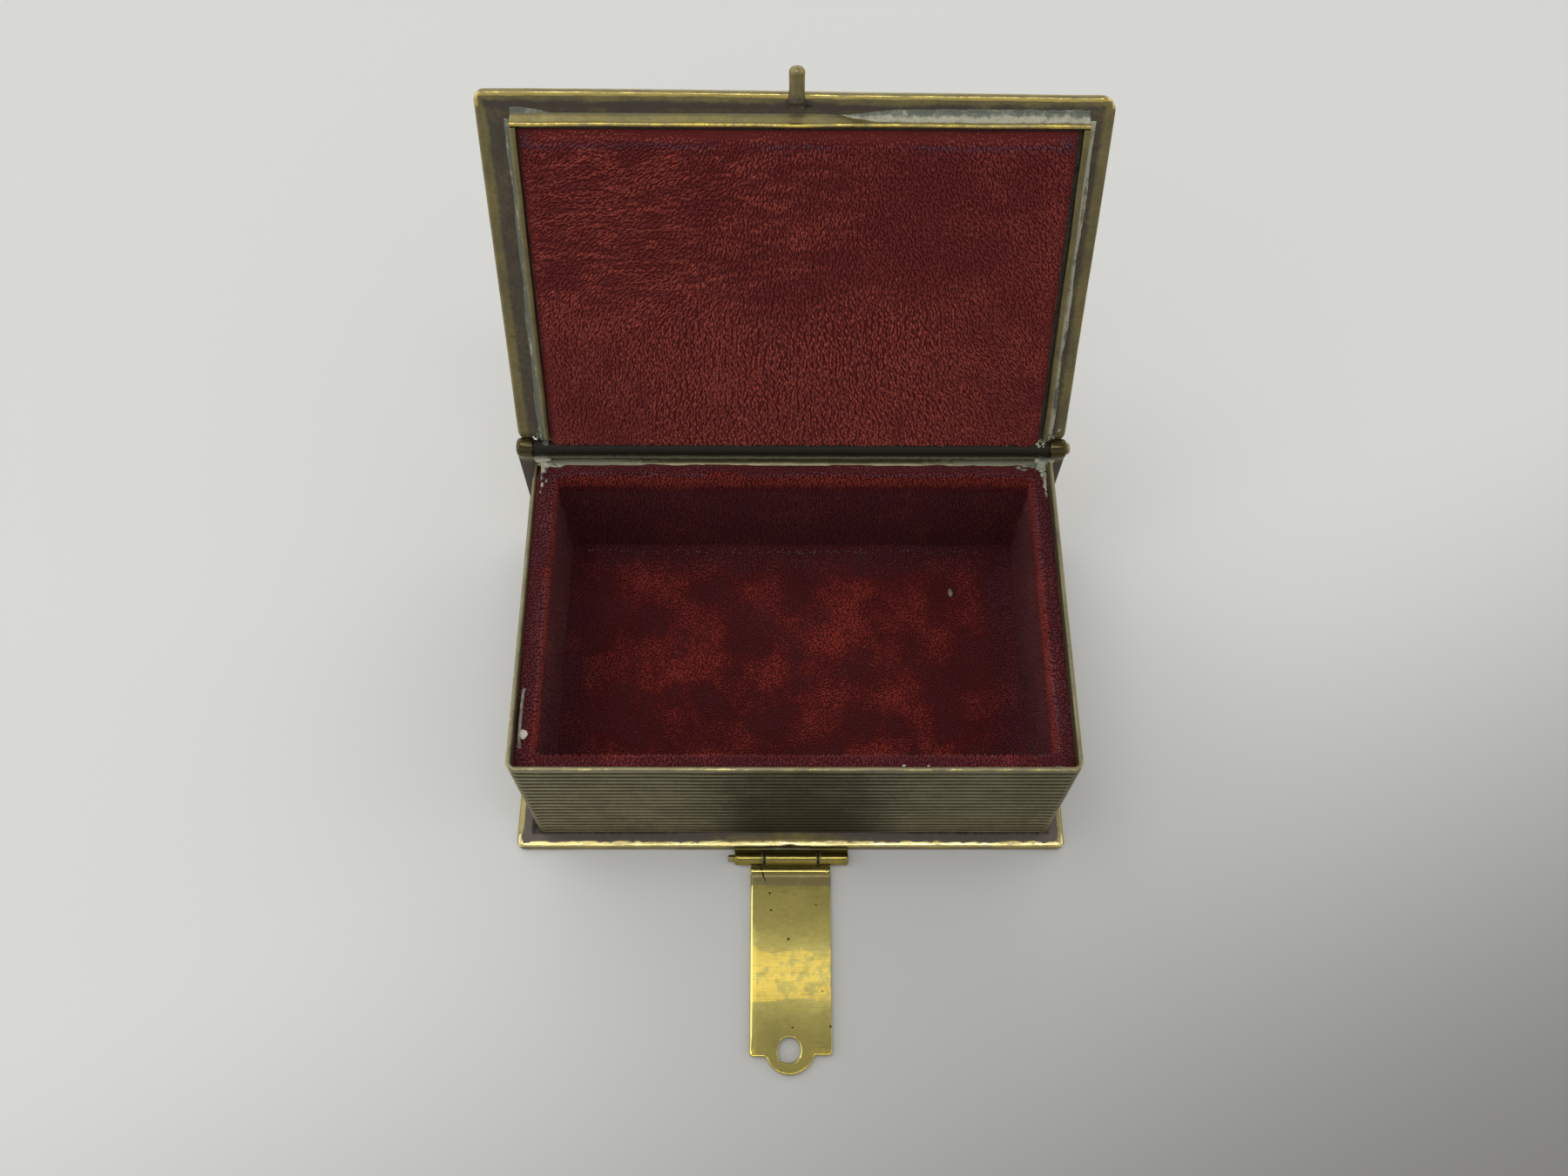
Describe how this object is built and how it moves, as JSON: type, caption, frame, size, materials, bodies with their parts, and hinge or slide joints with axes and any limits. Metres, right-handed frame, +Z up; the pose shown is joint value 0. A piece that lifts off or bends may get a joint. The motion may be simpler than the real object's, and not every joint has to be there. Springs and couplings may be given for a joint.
{
  "type": "needle case",
  "caption": "Brass book-form needle case with a hinged velvet-lined lid, a grooved page-edge body, a velvet-lined well and a hinged clasp strap over a stud.",
  "frame": {"origin": "centre of the base cover's underside, on the surface that the case stands on", "axes": "+X along the spine to the right, +Y from the clasp towards the hinge, +Z up"},
  "size_m": [0.0813, 0.1092, 0.0778],
  "materials": {
    "aged_brass": "worn, darkened brass with polished edges",
    "page_brass": "grooved, olive-toned brass",
    "tarnished_brass": "dark tarnish",
    "bright_brass": "rubbed bright brass",
    "strap_brass": "hammered brass with pits and scratches",
    "solder": "dull grey-green soft solder",
    "card": "matte",
    "case_velvet": "crimson cut-pile velvet, worn",
    "lid_velvet": "red-brown cut-pile velvet, worn"
  },
  "bodies": {
    "case": {"base_cover": "aged_brass", "page_wall": "page_brass", "back_wall": "tarnished_brass", "spine": "aged_brass", "spine_knuckle_left": "bright_brass", "spine_knuckle_right": "bright_brass", "lid_hinge_pin": "aged_brass", "floor_card": "card", "front_card": "card", "back_card": "card", "left_card": "card", "right_card": "card", "velvet_floor": "case_velvet", "velvet_front": "case_velvet", "velvet_back": "case_velvet", "velvet_left": "case_velvet", "velvet_right": "case_velvet", "hasp_hinge_leaf": "bright_brass", "hasp_hinge_pin": "aged_brass"},
    "lid": {"lid_cover": "aged_brass", "lid_flange_front": "bright_brass", "lid_flange_left": "bright_brass", "lid_flange_right": "bright_brass", "lid_knuckle": "tarnished_brass", "lid_card": "card", "velvet_lid_panel": "lid_velvet", "clasp_stud": "aged_brass"},
    "hasp": {"hasp_strap": "strap_brass"}
  },
  "joints": [
    {"name": "lid_hinge", "type": "hinge", "parent": "case", "child": "lid", "pos_m": [0, 0.02595, 0.02793], "axis": [1, 0, 0], "range_deg": [0, 115.2]},
    {"name": "hasp_hinge", "type": "hinge", "parent": "case", "child": "hasp", "pos_m": [0, -0.02805, 0.00108], "axis": [-1, 0, 0], "range_deg": [0, 93.5]}
  ]
}
